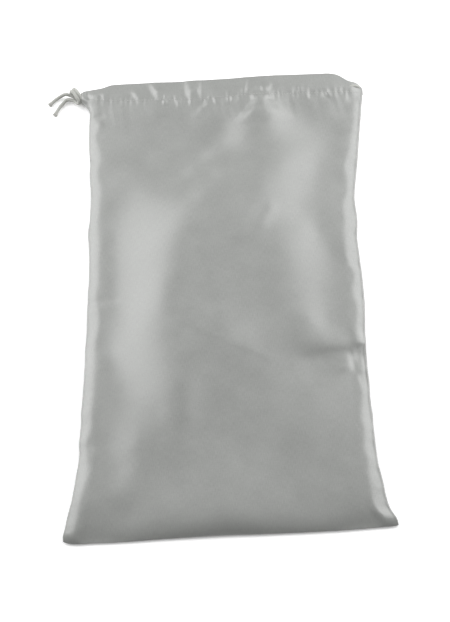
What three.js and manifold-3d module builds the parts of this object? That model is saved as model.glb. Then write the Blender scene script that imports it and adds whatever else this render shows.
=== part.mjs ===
// Drawstring shoe bag (satin slipper pouch), lying flat on its back.
//
// Frame: millimetres. +X across the bag, +Y towards the mouth, +Z up.
// The origin is under the middle of the bag, on the surface that it lies on.
//
// The bag is two satin panels sewn face to face along both sides and the
// bottom, then turned, so that the seam allowances and their overlock threads
// lie inside. The mouth of each panel is turned down into a casing. One cord
// runs through the front casing, round the right-hand side seam and back
// through the rear casing. Both of its ends leave the slit at the left-hand
// side seam and are tied together in one overhand knot.

import * as THREE from 'three';
import Module from 'manifold-3d';
import { mergeVertices } from 'three/addons/utils/BufferGeometryUtils.js';

const wasm = await Module();
wasm.setup();

// ---------------------------------------------------------------- dimensions
const BAG_WIDTH = 254;         // across the two bottom corners
const BAG_LENGTH = 400;        // bottom seam to the fold at the mouth
const CLOTH = 1.0;             // thickness of each panel
const GAP = 0.3;               // clearance between touching pieces
const SEAM_Z = 5.0;            // height of the side and bottom seams
const SEAM_Z_MOUTH = 7.2;      // height of the side seams at the mouth
const LOFT = 17.0;             // inner height of the puffed front panel

const CASING_HEIGHT = 17.7;    // depth of the turned casing along Y
const CASING_THICK = 4.8;      // outer thickness of each casing
const CASING_WALL = 0.6;       // cloth wall of the cord tunnel
const CASING_X0 = -111.0;      // left end: the slit that the cord leaves by
const CASING_X1 = 122.5;       // right end: folded round the side seam
const MOUTH_GAP = 5.2;         // free height between the two casings

const ALLOWANCE_WIDTH = 6.5;   // turned-in seam allowance
const ALLOWANCE_THICK = 1.2;   // both layers together
const THREAD = 0.5;            // sewing thread

const CORD_D = 3.0;            // drawstring diameter
const CORD_LEFT = [-116, 194.2];    // line of the cord inside the casings, [x, y]
const CORD_RIGHT = [118, 188.6];
const CORD_SIDES = 8;
const KNOT = [10.5, 13.5, 8.4];          // knot size along X, Y, Z
const KNOT_AT = [-124.0, 194.4, 5.9];    // centre of the knot
const TIP_D = 4.0;             // melted cord end
const TIP_L = 2.4;

const Y0 = -BAG_LENGTH / 2;
const Y1 = BAG_LENGTH / 2;
const CASING_Y0 = Y1 - CASING_HEIGHT;    // lower edge of the casings
const PANEL_Y1 = CASING_Y0 - GAP;        // upper edge of the panels
const FRONT_Z0 = CASING_THICK + MOUTH_GAP;          // underside of front casing
const BACK_CORD_Z = CASING_THICK / 2;
const FRONT_CORD_Z = FRONT_Z0 + CASING_THICK / 2;

// side outlines of the bag, [y, x]
const LEFT_EDGE = [
  [-200, -126], [-196, -BAG_WIDTH / 2], [-189, -125.2], [-183, -124.1], [-174, -121.6],
  [-163, -119.4], [-147, -117.2], [-131, -115.2], [-107, -114.2], [-82, -113.3],
  [-51, -112.1], [-28, -111.3], [7, -110.8], [34, -110.1], [60, -111.5],
  [95, -109.9], [133, -111.4], [165, -112.7], [200, -113.6],
];
const RIGHT_EDGE = [
  [-200, 126], [-197, BAG_WIDTH / 2], [-193, BAG_WIDTH / 2], [-187, 124], [-179, 120.7],
  [-165, 118.4], [-149, 115.3], [-117, 113.7], [-84, 112.9], [-48, 112.4],
  [-13, 113.6], [13, 113.0], [46, 111.2], [59, 112.3], [82, 111.1],
  [97, 112.9], [119, 116.2], [139, 118.5], [157, 120.8], [175, 122.5], [200, 122.5],
];

// height of the inner face of a panel at a distance from the seam, [d, z]
const FRONT_RISE = [
  [0, 0.15], [2, 0.2], [3.2, 0.95], [10.8, 1.35], [14, 3.0], [22, 6.0],
  [34, 8.8], [48, 10.2], [80, 11.5], [110, 12.0],
];
const BACK_DROP = [
  [0, 0.15], [2, 0.2], [3.2, 0.95], [10.8, 1.35], [14, 2.4], [20, 3.5],
  [26, 4.0], [400, 4.0],
];

// ------------------------------------------------------------------- helpers
function table(rows, t) {
  if (t <= rows[0][0]) return rows[0][1];
  for (let i = 1; i < rows.length; i++) {
    if (t <= rows[i][0]) {
      const [a, p] = rows[i - 1];
      const [b, q] = rows[i];
      return p + (q - p) * (t - a) / (b - a);
    }
  }
  return rows[rows.length - 1][1];
}

const ramp = (a, b, t) => {
  const k = Math.min(1, Math.max(0, (t - a) / (b - a)));
  return k * k * (3 - 2 * k);
};

// A closed slab between an upper and a lower grid of points.
function slab(nu, nv, upper, lower) {
  const position = [];
  const index = [];
  for (const face of [upper, lower]) {
    for (let j = 0; j < nv; j++) {
      for (let i = 0; i < nu; i++) position.push(...face(i, j));
    }
  }
  const top = (i, j) => j * nu + i;
  const low = (i, j) => nu * nv + j * nu + i;
  for (let j = 0; j < nv - 1; j++) {
    for (let i = 0; i < nu - 1; i++) {
      index.push(top(i, j), top(i + 1, j), top(i + 1, j + 1));
      index.push(top(i, j), top(i + 1, j + 1), top(i, j + 1));
      index.push(low(i, j), low(i + 1, j + 1), low(i + 1, j));
      index.push(low(i, j), low(i, j + 1), low(i + 1, j + 1));
    }
  }
  const wall = (a, b, c, d) => index.push(a, b, c, a, c, d);
  for (let i = 0; i < nu - 1; i++) {
    wall(low(i, 0), low(i + 1, 0), top(i + 1, 0), top(i, 0));
    wall(low(i + 1, nv - 1), low(i, nv - 1), top(i, nv - 1), top(i + 1, nv - 1));
  }
  for (let j = 0; j < nv - 1; j++) {
    wall(low(0, j + 1), low(0, j), top(0, j), top(0, j + 1));
    wall(low(nu - 1, j), low(nu - 1, j + 1), top(nu - 1, j + 1), top(nu - 1, j));
  }
  const geometry = new THREE.BufferGeometry();
  geometry.setAttribute('position', new THREE.Float32BufferAttribute(position, 3));
  geometry.setIndex(index);
  geometry.computeVertexNormals();
  return geometry;
}

// A profile in the YZ plane, [y, z] pairs, extruded along +X from x0 to x1.
function alongX(profile, x0, x1) {
  const shape = new THREE.Shape(profile.map(([y, z]) => new THREE.Vector2(y, z)));
  const geometry = new THREE.ExtrudeGeometry(shape, { depth: x1 - x0, bevelEnabled: false });
  // shape X -> world Y, shape Y -> world Z, extrusion -> world X
  geometry.applyMatrix4(new THREE.Matrix4().set(
    0, 0, 1, x0,
    1, 0, 0, 0,
    0, 1, 0, 0,
    0, 0, 0, 1,
  ));
  return geometry;
}

function block(x0, x1, y0, y1, z0, z1) {
  const geometry = new THREE.BoxGeometry(x1 - x0, y1 - y0, z1 - z0);
  geometry.translate((x0 + x1) / 2, (y0 + y1) / 2, (z0 + z1) / 2);
  return geometry;
}

function toSolid(geometry) {
  const plain = geometry.clone();
  plain.deleteAttribute('normal');
  plain.deleteAttribute('uv');
  const merged = mergeVertices(plain, 1e-4);
  return new wasm.Manifold(new wasm.Mesh({
    numProp: 3,
    vertProperties: new Float32Array(merged.attributes.position.array),
    triVerts: new Uint32Array(merged.index.array),
  }));
}

function toGeometry(solid) {
  const mesh = solid.getMesh();
  const geometry = new THREE.BufferGeometry();
  const n = mesh.numProp;
  const position = new Float32Array(mesh.vertProperties.length / n * 3);
  for (let i = 0; i < position.length / 3; i++) {
    for (let k = 0; k < 3; k++) position[i * 3 + k] = mesh.vertProperties[i * n + k];
  }
  geometry.setAttribute('position', new THREE.BufferAttribute(position, 3));
  geometry.setIndex(new THREE.BufferAttribute(new Uint32Array(mesh.triVerts), 1));
  geometry.computeVertexNormals();
  return geometry;
}

// A smooth curve whose stations are evenly spaced in its control points, so
// that bends get as many sections as straight runs.
class StationCurve extends THREE.Curve {
  constructor(points) {
    super();
    this.inner = new THREE.CatmullRomCurve3(
      points.map((p) => new THREE.Vector3(...p)), false, 'centripetal');
  }
  getPoint(t, target = new THREE.Vector3()) { return this.inner.getPoint(t, target); }
  getUtoTmapping(u) { return u; }
}

function roundBar(points, diameter, steps, sides = CORD_SIDES) {
  const ring = [];
  for (let i = 0; i < sides; i++) {
    const a = (i + 0.5) / sides * Math.PI * 2;
    ring.push(new THREE.Vector2(Math.cos(a) * diameter / 2, Math.sin(a) * diameter / 2));
  }
  return new THREE.ExtrudeGeometry(new THREE.Shape(ring), {
    steps, bevelEnabled: false, extrudePath: new StationCurve(points),
  });
}

// ----------------------------------------------------------------- materials
const cloth = (color) => new THREE.MeshStandardMaterial({ color, roughness: 0.34, metalness: 0 });
const SATIN = 0xc9cbc8;
const SATIN_INSIDE = 0xbfc1bd;
const sewing = () => new THREE.MeshStandardMaterial({ color: 0xd2d4d1, roughness: 0.6, metalness: 0 });
const cording = () => new THREE.MeshStandardMaterial({ color: 0xc4c9ca, roughness: 0.55, metalness: 0 });
const melted = () => new THREE.MeshStandardMaterial({ color: 0xb9bcb8, roughness: 0.4, metalness: 0 });

const bag = new THREE.Group();
function add(name, geometry, material) {
  const mesh = new THREE.Mesh(geometry, material);
  mesh.name = name;
  bag.add(mesh);
  return mesh;
}

// -------------------------------------------------------------------- panels
const COLUMNS = [0, 2, 3.2, 10.8, 14, 22, 34, 48, 80];
const ROWS = [0, 2, 4, 10.8, 14, 22, 34, 52, 70, 92, 118, 150, 186, 218, 246, 260, 284, 300, 320, 340, 357, 372];
const seamZ = (y) => SEAM_Z + (SEAM_Z_MOUTH - SEAM_Z) * ramp(110, PANEL_Y1, y);

function station(i, j) {
  const last = ROWS.length;
  const dy = j < last ? ROWS[j] : PANEL_Y1 - Y0;
  const y = Y0 + dy;
  const xl = table(LEFT_EDGE, y);
  const xr = table(RIGHT_EDGE, y);
  const n = COLUMNS.length;
  const count = 2 * n + 1;
  let x;
  let dx;
  if (i < n) { dx = COLUMNS[i]; x = xl + dx; }
  else if (i === n) { x = (xl + xr) / 2; dx = x - xl; }
  else { dx = COLUMNS[count - 1 - i]; x = xr - dx; }
  return { x, y, dx, dy, d: Math.min(dx, dy) };
}
const NU = 2 * COLUMNS.length + 1;
const NV = ROWS.length + 1;

function frontInner(i, j) {
  const s = station(i, j);
  const zs = seamZ(s.y);
  const closing = ramp(90, PANEL_Y1, s.y);
  const rise = table(FRONT_RISE, s.d);
  const atMouth = Math.min(FRONT_Z0 + 1.4 - zs, rise < 1.4 ? rise : rise * 1.6);
  return [s.x, s.y, zs + rise * (1 - closing) + atMouth * closing];
}
const frontOuter = (i, j) => {
  const p = frontInner(i, j);
  return [p[0], p[1], p[2] + CLOTH];
};
function backInner(i, j) {
  const s = station(i, j);
  const zs = seamZ(s.y);
  const drop = table(BACK_DROP, s.d) * (zs - CLOTH) / 4.0;
  const lift = 1.25 * ramp(165, PANEL_Y1, s.y);
  return [s.x, s.y, Math.max(zs - Math.max(drop, table(BACK_DROP, Math.min(s.d, 10.8))), CLOTH + lift)];
}
const backOuter = (i, j) => {
  const p = backInner(i, j);
  return [p[0], p[1], p[2] - CLOTH];
};

add('front_panel', slab(NU, NV, frontOuter, frontInner), cloth(SATIN));
add('back_panel', slab(NU, NV, backInner, backOuter), cloth(SATIN));

// ------------------------------------------------------------------- casings
// Each casing is a flat tunnel with a thinner stitched lip along its lower
// edge. At the right-hand seam the two tunnels open into each other, so that
// the cord can turn back.
const LIP = 2.4;
function casingProfile(z0, lipLow, lipHigh) {
  const z1 = z0 + CASING_THICK;
  return [
    [CASING_Y0, z0 + lipLow], [CASING_Y0 + LIP, z0 + lipLow], [CASING_Y0 + LIP + 0.8, z0],
    [Y1 - 1.4, z0], [Y1, z0 + 1.4], [Y1, z1 - 1.4], [Y1 - 1.4, z1],
    [CASING_Y0 + LIP + 0.8, z1], [CASING_Y0 + LIP, z1 - lipHigh], [CASING_Y0, z1 - lipHigh],
  ];
}
const TUNNEL_Y0 = CASING_Y0 + LIP + 1.6;
const TUNNEL_Y1 = Y1 - 1.3;
const TURN_X0 = CASING_X1 - 10;          // start of the opening for the turn
const SIDE_SEAM_Z = CASING_THICK + MOUTH_GAP / 2;

function casing(z0, front) {
  const body = toSolid(alongX(
    casingProfile(z0, front ? 0.6 : 1.1, front ? 1.1 : 0.6), CASING_X0, CASING_X1));
  const z1 = z0 + CASING_THICK;
  // cloth carried round to the side seam, with its own end wall
  const half = front
    ? block(TURN_X0 - 1, CASING_X1, TUNNEL_Y0 - 0.6, TUNNEL_Y1 + 0.6, SIDE_SEAM_Z + GAP / 2, z0 + 1)
    : block(TURN_X0 - 1, CASING_X1, TUNNEL_Y0 - 0.6, TUNNEL_Y1 + 0.6, z1 - 1, SIDE_SEAM_Z - GAP / 2);
  const tunnel = toSolid(block(CASING_X0 - 1, CASING_X1 - CASING_WALL,
    TUNNEL_Y0, TUNNEL_Y1, z0 + CASING_WALL, z1 - CASING_WALL));
  const turn = toSolid(front
    ? block(TURN_X0 - 0.4, CASING_X1 - CASING_WALL, TUNNEL_Y0, TUNNEL_Y1, SIDE_SEAM_Z - 1, z0 + 2)
    : block(TURN_X0 - 0.4, CASING_X1 - CASING_WALL, TUNNEL_Y0, TUNNEL_Y1, z1 - 2, SIDE_SEAM_Z + 1));
  return toGeometry(body.add(toSolid(half)).subtract(tunnel).subtract(turn));
}
add('front_casing', casing(FRONT_Z0, true), cloth(SATIN));
add('back_casing', casing(0, false), cloth(SATIN));

// ----------------------------------------------------- casing stitching rows
const frontStitchZ = FRONT_Z0 + CASING_THICK - 1.1 + GAP;
add('front_casing_stitch', block(CASING_X0 + 2, CASING_X1 - 3,
  CASING_Y0 + 0.7, CASING_Y0 + 0.7 + THREAD, frontStitchZ, frontStitchZ + THREAD), sewing());
add('back_casing_stitch', block(CASING_X0 + 2, CASING_X1 - 3,
  CASING_Y0 + 0.7, CASING_Y0 + 0.7 + THREAD, 0.3, 0.3 + THREAD), sewing());

// --------------------------------------------------------- seam allowances
// Both layers of the turned-in allowance, as one strip between the panels.
const STRIP_Y = [...ROWS.slice(3).map((r) => Y0 + r), PANEL_Y1 - 3];
function sideStrip(edge, sign, d0, d1, half) {
  const nv = STRIP_Y.length;
  const at = (i, j, up) => {
    const y = STRIP_Y[j];
    const e = table(edge, y);
    const d = (sign > 0) === (i === 0) ? d0 : d1;
    return [e + sign * d, y, seamZ(y) + up * half];
  };
  return slab(2, nv, (i, j) => at(i, j, 1), (i, j) => at(i, j, -1));
}
const A0 = 3.6;
const A1 = A0 + ALLOWANCE_WIDTH;
add('left_seam_allowance', sideStrip(LEFT_EDGE, 1, A0, A1, ALLOWANCE_THICK / 2), cloth(SATIN_INSIDE));
add('right_seam_allowance', sideStrip(RIGHT_EDGE, -1, A0, A1, ALLOWANCE_THICK / 2), cloth(SATIN_INSIDE));
add('bottom_seam_allowance', block(-121.5, 121.5, Y0 + A0, Y0 + A1,
  SEAM_Z - ALLOWANCE_THICK / 2, SEAM_Z + ALLOWANCE_THICK / 2), cloth(SATIN_INSIDE));

// overlock threads wrapped round the free edge of each allowance
const O0 = A1 + GAP;
const O1 = O0 + 0.8;
add('left_overlock_thread', sideStrip(LEFT_EDGE, 1, O0, O1, 0.9), sewing());
add('right_overlock_thread', sideStrip(RIGHT_EDGE, -1, O0, O1, 0.9), sewing());
add('bottom_overlock_thread', block(-108, 107, Y0 + O0, Y0 + O1, SEAM_Z - 0.9, SEAM_Z + 0.9), sewing());

// bar tack across the foot of the slit that the cord leaves by
add('left_slit_bartack', block(-117.0, -114.4, CASING_Y0 - 6, CASING_Y0 - 0.4,
  SEAM_Z_MOUTH - 0.9, SEAM_Z_MOUTH + 0.9), sewing());

// ---------------------------------------------------------------- drawstring
// Front run, turn round the right-hand seam, and rear run, as one cord.
const runEnd = KNOT_AT[0] + KNOT[0] / 2 + 0.6;
const turnR = (FRONT_CORD_Z - BACK_CORD_Z) / 2;
const turnX = CASING_X1 - CASING_WALL - GAP - CORD_D / 2 - turnR - 0.2;
const runStart = CASING_X0 - 1.2;        // both runs are straight from here on
const RUNS = 15;
const cordY = (x) => CORD_LEFT[1]
  + (CORD_RIGHT[1] - CORD_LEFT[1]) * (x - CORD_LEFT[0]) / (CORD_RIGHT[0] - CORD_LEFT[0]);
const route = [];
const lay = (x, z) => route.push([x, cordY(x), z]);
lay(runEnd, KNOT_AT[2] + 2.1);
lay(runEnd + 3.2, KNOT_AT[2] + 4.6);
for (let i = 0; i <= RUNS; i++) lay(runStart + (turnX - runStart) * i / RUNS, FRONT_CORD_Z);
for (let i = 1; i < 8; i++) {
  const a = Math.PI / 2 - Math.PI * i / 8;
  lay(turnX + Math.cos(a) * turnR, (FRONT_CORD_Z + BACK_CORD_Z) / 2 + Math.sin(a) * turnR);
}
for (let i = RUNS; i >= 0; i--) lay(runStart + (turnX - runStart) * i / RUNS, BACK_CORD_Z);
lay(runEnd + 3.2, BACK_CORD_Z + 0.5);
lay(runEnd, KNOT_AT[2] - 2.1);
add('drawstring', roundBar(route, CORD_D, route.length - 1), cording());

// overhand knot that joins the two ends, as one closed lump
const knot = new THREE.SphereGeometry(0.5, 14, 9);
knot.scale(KNOT[0], KNOT[1], KNOT[2]);
knot.rotateZ(0.2);
const knotMesh = add('drawstring_knot', knot, cording());
knotMesh.position.set(...KNOT_AT);

// the two free ends, and the melted tip of each
const TAIL_UPPER = [
  [-130.6, 198.6, 5.4], [-134.2, 199.0, 4.2], [-138.4, 197.8, 2.9], [-142.4, 195.9, 2.1], [-145.8, 193.6, 1.9],
];
const TAIL_LOWER = [
  [-130.4, 193.0, 4.8], [-133.8, 191.6, 3.6], [-136.8, 189.0, 2.4], [-139.2, 185.8, 1.9], [-141.2, 182.8, 1.9],
];
function tip(path) {
  const a = new THREE.Vector3(...path[path.length - 2]);
  const b = new THREE.Vector3(...path[path.length - 1]);
  const dir = b.clone().sub(a).normalize();
  const start = b.clone().addScaledVector(dir, GAP);
  const end = start.clone().addScaledVector(dir, TIP_L);
  const geometry = new THREE.CylinderGeometry(TIP_D / 2, CORD_D / 2, TIP_L, 10);
  const q = new THREE.Quaternion().setFromUnitVectors(new THREE.Vector3(0, 1, 0), dir);
  return { geometry, q, at: start.add(end).multiplyScalar(0.5) };
}
for (const [name, path] of [['upper', TAIL_UPPER], ['lower', TAIL_LOWER]]) {
  add(`drawstring_tail_${name}`, roundBar(path, CORD_D, 8), cording());
  const t = tip(path);
  const m = add(`cord_tip_${name}`, t.geometry, melted());
  m.quaternion.copy(t.q);
  m.position.copy(t.at).setZ(Math.max(t.at.z, TIP_D / 2 + 0.05));
}

export default bag;
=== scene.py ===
# Satin drawstring shoe bag, lying flat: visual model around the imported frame.
# Lengths in the shape code are millimetres in the row frame; meshes are metres.

import math

import bmesh
import bpy
import numpy as np
from mathutils import Matrix, Vector


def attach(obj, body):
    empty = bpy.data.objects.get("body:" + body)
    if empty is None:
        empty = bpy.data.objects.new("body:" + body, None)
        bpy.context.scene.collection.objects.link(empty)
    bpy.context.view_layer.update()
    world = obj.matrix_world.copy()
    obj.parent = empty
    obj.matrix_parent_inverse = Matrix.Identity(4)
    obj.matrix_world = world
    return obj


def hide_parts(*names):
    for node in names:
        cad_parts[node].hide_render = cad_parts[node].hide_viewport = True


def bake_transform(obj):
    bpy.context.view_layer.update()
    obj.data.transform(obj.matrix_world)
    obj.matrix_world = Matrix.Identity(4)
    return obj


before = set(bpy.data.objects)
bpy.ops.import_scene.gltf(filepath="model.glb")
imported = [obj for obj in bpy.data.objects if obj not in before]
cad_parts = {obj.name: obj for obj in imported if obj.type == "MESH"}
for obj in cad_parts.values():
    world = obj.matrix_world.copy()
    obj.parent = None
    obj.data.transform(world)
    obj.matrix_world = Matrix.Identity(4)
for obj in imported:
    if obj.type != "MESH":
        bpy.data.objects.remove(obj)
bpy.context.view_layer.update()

MM = 0.001
scene = bpy.context.scene

# ------------------------------------------------------------------ camera
AZ, EL, ROLL = math.radians(6.865), math.radians(66.0), math.radians(-8.941)
TARGET = Vector((0.78, -13.16, 0.0)) * MM
DIST = 1118.6 * MM


def make_camera():
    back = Vector((math.sin(AZ) * math.cos(EL), -math.cos(AZ) * math.cos(EL), math.sin(EL)))
    right = (-back).cross(Vector((0, 0, 1))).normalized()
    up = right.cross(-back)
    r = right * math.cos(ROLL) + up * math.sin(ROLL)
    u = up * math.cos(ROLL) - right * math.sin(ROLL)
    cam = bpy.data.objects.new("camera", bpy.data.cameras.new("camera"))
    cam.data.sensor_width = 36.0
    cam.data.lens = 1380.0 * 36.0 / 622.0
    cam.data.clip_start, cam.data.clip_end = 0.01, 20.0
    m = Matrix((r, u, back)).transposed().to_4x4()
    m.translation = TARGET + back * DIST
    cam.matrix_world = m
    scene.collection.objects.link(cam)
    scene.camera = cam


make_camera()


# ------------------------------------------------------------------ helpers
def S(t, a, b):
    k = np.clip((np.asarray(t, float) - a) / (b - a), 0.0, 1.0)
    return k * k * (3 - 2 * k)


def gauss(t, c, s):
    return np.exp(-(((np.asarray(t, float) - c) / s) ** 2))


def smooth_table(rows, sigma, step=0.5):
    """A smoothed lookup through [t, value] rows."""
    rows = sorted(rows)
    t = np.arange(rows[0][0] - 20, rows[-1][0] + 20 + step, step)
    v = np.interp(t, [r[0] for r in rows], [r[1] for r in rows])
    k = np.arange(-3 * sigma, 3 * sigma + step, step)
    w = np.exp(-0.5 * (k / sigma) ** 2)
    pad = len(k) // 2
    v = np.convolve(np.pad(v, pad, mode="edge"), w / w.sum(), mode="valid")[: len(t)]
    return lambda x: np.interp(x, t, v)


def wander(seed, shortest, longest, n=9):
    """A smooth one-dimensional wander of unit size, with fixed phases."""
    rng = np.random.RandomState(seed)
    lengths = np.exp(np.linspace(math.log(shortest), math.log(longest), n))
    lengths = lengths * rng.uniform(0.9, 1.1, n)
    phases = rng.uniform(0, 2 * math.pi, n)
    sizes = rng.uniform(0.5, 1.0, n)
    norm = math.sqrt((sizes**2).sum() / 2)

    def f(x):
        x = np.asarray(x, float)
        return sum(
            s * np.sin(2 * math.pi * x / l + p) for s, l, p in zip(sizes, lengths, phases)
        ) / norm

    return f


def grid_mesh(name, P, uv=None, flip=False, close_v=False):
    """A quad mesh from an array of points (rows, columns, 3) in millimetres."""
    nr, nc, _ = P.shape
    verts = (P.reshape(-1, 3) * MM).tolist()
    j, i = np.meshgrid(np.arange(nr if close_v else nr - 1), np.arange(nc - 1), indexing="ij")
    j2 = (j + 1) % nr
    a, b, c, d = j * nc + i, j * nc + i + 1, j2 * nc + i + 1, j2 * nc + i
    quads = np.stack([a, b, c, d] if not flip else [a, d, c, b], -1).reshape(-1, 4)
    me = bpy.data.meshes.new(name)
    me.from_pydata(verts, [], quads.tolist())
    if uv is not None:
        layer = me.uv_layers.new(name="cloth")
        idx = np.empty(len(me.loops), int)
        me.loops.foreach_get("vertex_index", idx)
        layer.data.foreach_set("uv", uv.reshape(-1, 2)[idx].astype(np.float32).ravel())
    me.polygons.foreach_set("use_smooth", [True] * len(me.polygons))
    me.update()
    bm = bmesh.new()
    bm.from_mesh(me)
    for e in bm.edges:
        if e.is_boundary:
            e.smooth = False
    bm.to_mesh(me)
    bm.free()
    ob = bpy.data.objects.new(name, me)
    scene.collection.objects.link(ob)
    return ob


def give_thickness(ob, t_mm):
    """Cloth thickness towards the inside, with the raw edge closed."""
    m = ob.modifiers.new("cloth", "SOLIDIFY")
    m.thickness = t_mm * MM
    m.offset = -1.0
    m.use_even_offset = False
    return ob


def join_parts(name, parts):
    """One mesh from several (verts, faces) lists, in millimetres."""
    V, F, n = [], [], 0
    for v, f in parts:
        V.extend(v)
        F.extend([[k + n for k in face] for face in f])
        n += len(v)
    me = bpy.data.meshes.new(name)
    me.from_pydata([[c * MM for c in p] for p in V], [], F)
    me.polygons.foreach_set("use_smooth", [True] * len(me.polygons))
    me.update()
    ob = bpy.data.objects.new(name, me)
    scene.collection.objects.link(ob)
    return ob


def catmull(points, per=16):
    """Dense points on a centripetal Catmull-Rom curve."""
    P = np.asarray(points, float)
    P = np.vstack([2 * P[0] - P[1], P, 2 * P[-1] - P[-2]])
    out = []
    for k in range(1, len(P) - 2):
        p0, p1, p2, p3 = P[k - 1], P[k], P[k + 1], P[k + 2]
        t0 = 0.0
        t1 = t0 + max(np.linalg.norm(p1 - p0), 1e-6) ** 0.5
        t2 = t1 + max(np.linalg.norm(p2 - p1), 1e-6) ** 0.5
        t3 = t2 + max(np.linalg.norm(p3 - p2), 1e-6) ** 0.5
        for t in np.linspace(t1, t2, per, endpoint=False):
            a1 = (t1 - t) / (t1 - t0) * p0 + (t - t0) / (t1 - t0) * p1
            a2 = (t2 - t) / (t2 - t1) * p1 + (t - t1) / (t2 - t1) * p2
            a3 = (t3 - t) / (t3 - t2) * p2 + (t - t2) / (t3 - t2) * p3
            b1 = (t2 - t) / (t2 - t0) * a1 + (t - t0) / (t2 - t0) * a2
            b2 = (t3 - t) / (t3 - t1) * a2 + (t - t1) / (t3 - t1) * a3
            out.append((t2 - t) / (t2 - t1) * b1 + (t - t1) / (t2 - t1) * b2)
    out.append(P[-2])
    return np.array(out)


def resample(P, step):
    seg = np.linalg.norm(np.diff(P, axis=0), axis=1)
    s = np.concatenate([[0], np.cumsum(seg)])
    n = max(2, int(round(s[-1] / step)) + 1)
    t = np.linspace(0, s[-1], n)
    return np.stack([np.interp(t, s, P[:, k]) for k in range(3)], 1), s[-1]


def frames(P, first=None):
    """Tangents and a parallel-transported side vector along a path."""
    T = np.gradient(P, axis=0)
    T /= np.linalg.norm(T, axis=1, keepdims=True)
    n = np.array(first if first is not None else [0, 0, 1.0], float)
    if abs(n @ T[0]) > 0.95:
        n = np.array([0, 1.0, 0])
    N = np.zeros_like(P)
    n = n - (n @ T[0]) * T[0]
    N[0] = n / np.linalg.norm(n)
    for k in range(1, len(P)):
        v = N[k - 1] - (N[k - 1] @ T[k]) * T[k]
        N[k] = v / np.linalg.norm(v)
    return T, N, np.cross(T, N)


def tube(P, radius, sides, first=None, cap=True, profile=None):
    """Vertices and faces of a round bar along a path; profile(k, angle) scales the radius."""
    T, N, B = frames(P, first)
    a = np.arange(sides) / sides * 2 * math.pi
    R = np.broadcast_to(np.asarray(radius, float).reshape(-1, 1), (len(P), 1))
    scale = np.ones((len(P), sides)) if profile is None else profile(np.arange(len(P))[:, None], a[None, :])
    ring = (
        P[:, None, :]
        + (R * scale * np.cos(a))[..., None] * N[:, None, :]
        + (R * scale * np.sin(a))[..., None] * B[:, None, :]
    )
    V = ring.reshape(-1, 3).tolist()
    F = []
    for k in range(len(P) - 1):
        for i in range(sides):
            i2 = (i + 1) % sides
            F.append([k * sides + i, k * sides + i2, (k + 1) * sides + i2, (k + 1) * sides + i])
    if cap:
        V += [P[0].tolist(), P[-1].tolist()]
        c0, c1, last = len(V) - 2, len(V) - 1, (len(P) - 1) * sides
        for i in range(sides):
            i2 = (i + 1) % sides
            F.append([c0, i2, i])
            F.append([c1, last + i, last + i2])
    return V, F


# ---------------------------------------------------------- bag outline (mm)
LEFT = smooth_table([
    (-203, -125.0), (-200, -126.6), (-195.7, -127.1), (-189.6, -125.4), (-183.4, -124.2),
    (-177.2, -122.7), (-169.4, -120.5), (-163.1, -119.4), (-155.2, -118.1), (-147.3, -117.2),
    (-139.3, -115.8), (-131.2, -115.1), (-123, -115.7), (-114.9, -114.9), (-106.6, -114.2),
    (-98.3, -114.5), (-90, -113.8), (-81.6, -113.3), (-73.2, -112.9), (-64.7, -112.6),
    (-57.9, -112.2), (-44.1, -112.2), (-28.4, -111.3), (-10.8, -111.2), (-1.9, -110.8),
    (7.1, -110.8), (16.1, -110.1), (34.3, -110.1), (43.5, -110.5), (50.9, -111.0),
    (58.4, -111.7), (64, -111.5), (71.4, -110.4), (86.6, -110.0), (94.2, -109.9),
    (101.9, -110.1), (109.6, -110.8), (117.4, -111.3), (125.2, -110.9), (133, -111.4),
    (140.9, -112.1), (152.9, -112.4), (164.9, -112.3), (170.9, -111.9), (175, -111.7),
    (178.6, -112.4), (181.4, -113.7), (184.0, -115.6), (186.4, -118.0), (188.6, -119.9),
    (191.5, -121.1), (195, -120.8), (198.5, -120.0), (203, -119.6),
], 0.9)
RIGHT = smooth_table([
    (-203, 126.0), (-198.5, 127.2), (-196.5, 127.6), (-193.5, 127.4), (-190.3, 126.4),
    (-187.2, 123.9), (-184, 122.2), (-179.3, 120.7), (-173, 119.4), (-165.1, 118.4),
    (-157.2, 117.1), (-149.1, 115.4), (-141.1, 114.9), (-133.1, 114.4), (-116.8, 113.7),
    (-108.7, 113.8), (-100.4, 113.0), (-92.1, 112.7), (-83.8, 112.9), (-68.6, 112.2),
    (-55, 112.2), (-48.1, 112.5), (-39.5, 112.3), (-30.9, 112.9), (-13.4, 113.6),
    (4.4, 113.3), (13.3, 113.0), (22.4, 112.2), (31.5, 111.9), (38.8, 111.3), (46.1, 111.1),
    (51.6, 111.7), (59, 112.3), (66.5, 112.1), (74, 111.5), (81.5, 111.1), (89.1, 111.8),
    (96.6, 112.9), (104.2, 114.0), (111.8, 115.1), (119.5, 116.2), (127.2, 117.0),
    (138.8, 118.5), (150.6, 120.0), (160.4, 121.3), (170, 122.3), (176, 123.4),
    (182, 124.0), (188, 124.0), (193, 123.2), (202, 121),
], 1.4)
BOTTOM = smooth_table([
    (-127, -198.6), (-125.3, -200.2), (-120.7, -201.5), (-113, -201.6), (-104.7, -201.3), (-90.2, -201.4), (-75, -201.1), (-51.4, -200.3),
    (-29.4, -199.8), (-3.7, -199.3), (23.5, -199.5), (56.6, -199.3), (80.6, -198.9), (98.7, -198.2), (113.7, -197.5), (121.1, -197.3), (125.7, -197.0), (127, -196.2),
], 1.5)
STITCH = smooth_table([  # the stitched foot of the casing
    (-120, 188.2), (-115, 187.9), (-110, 187.5), (-102.7, 186.6), (-90, 185.3), (-75, 184.2), (-40, 183.0),
    (-24, 182.6), (10, 182.8), (50, 182.5), (90, 182.0), (113, 181.7), (124, 181.6),
], 3.0)
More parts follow.
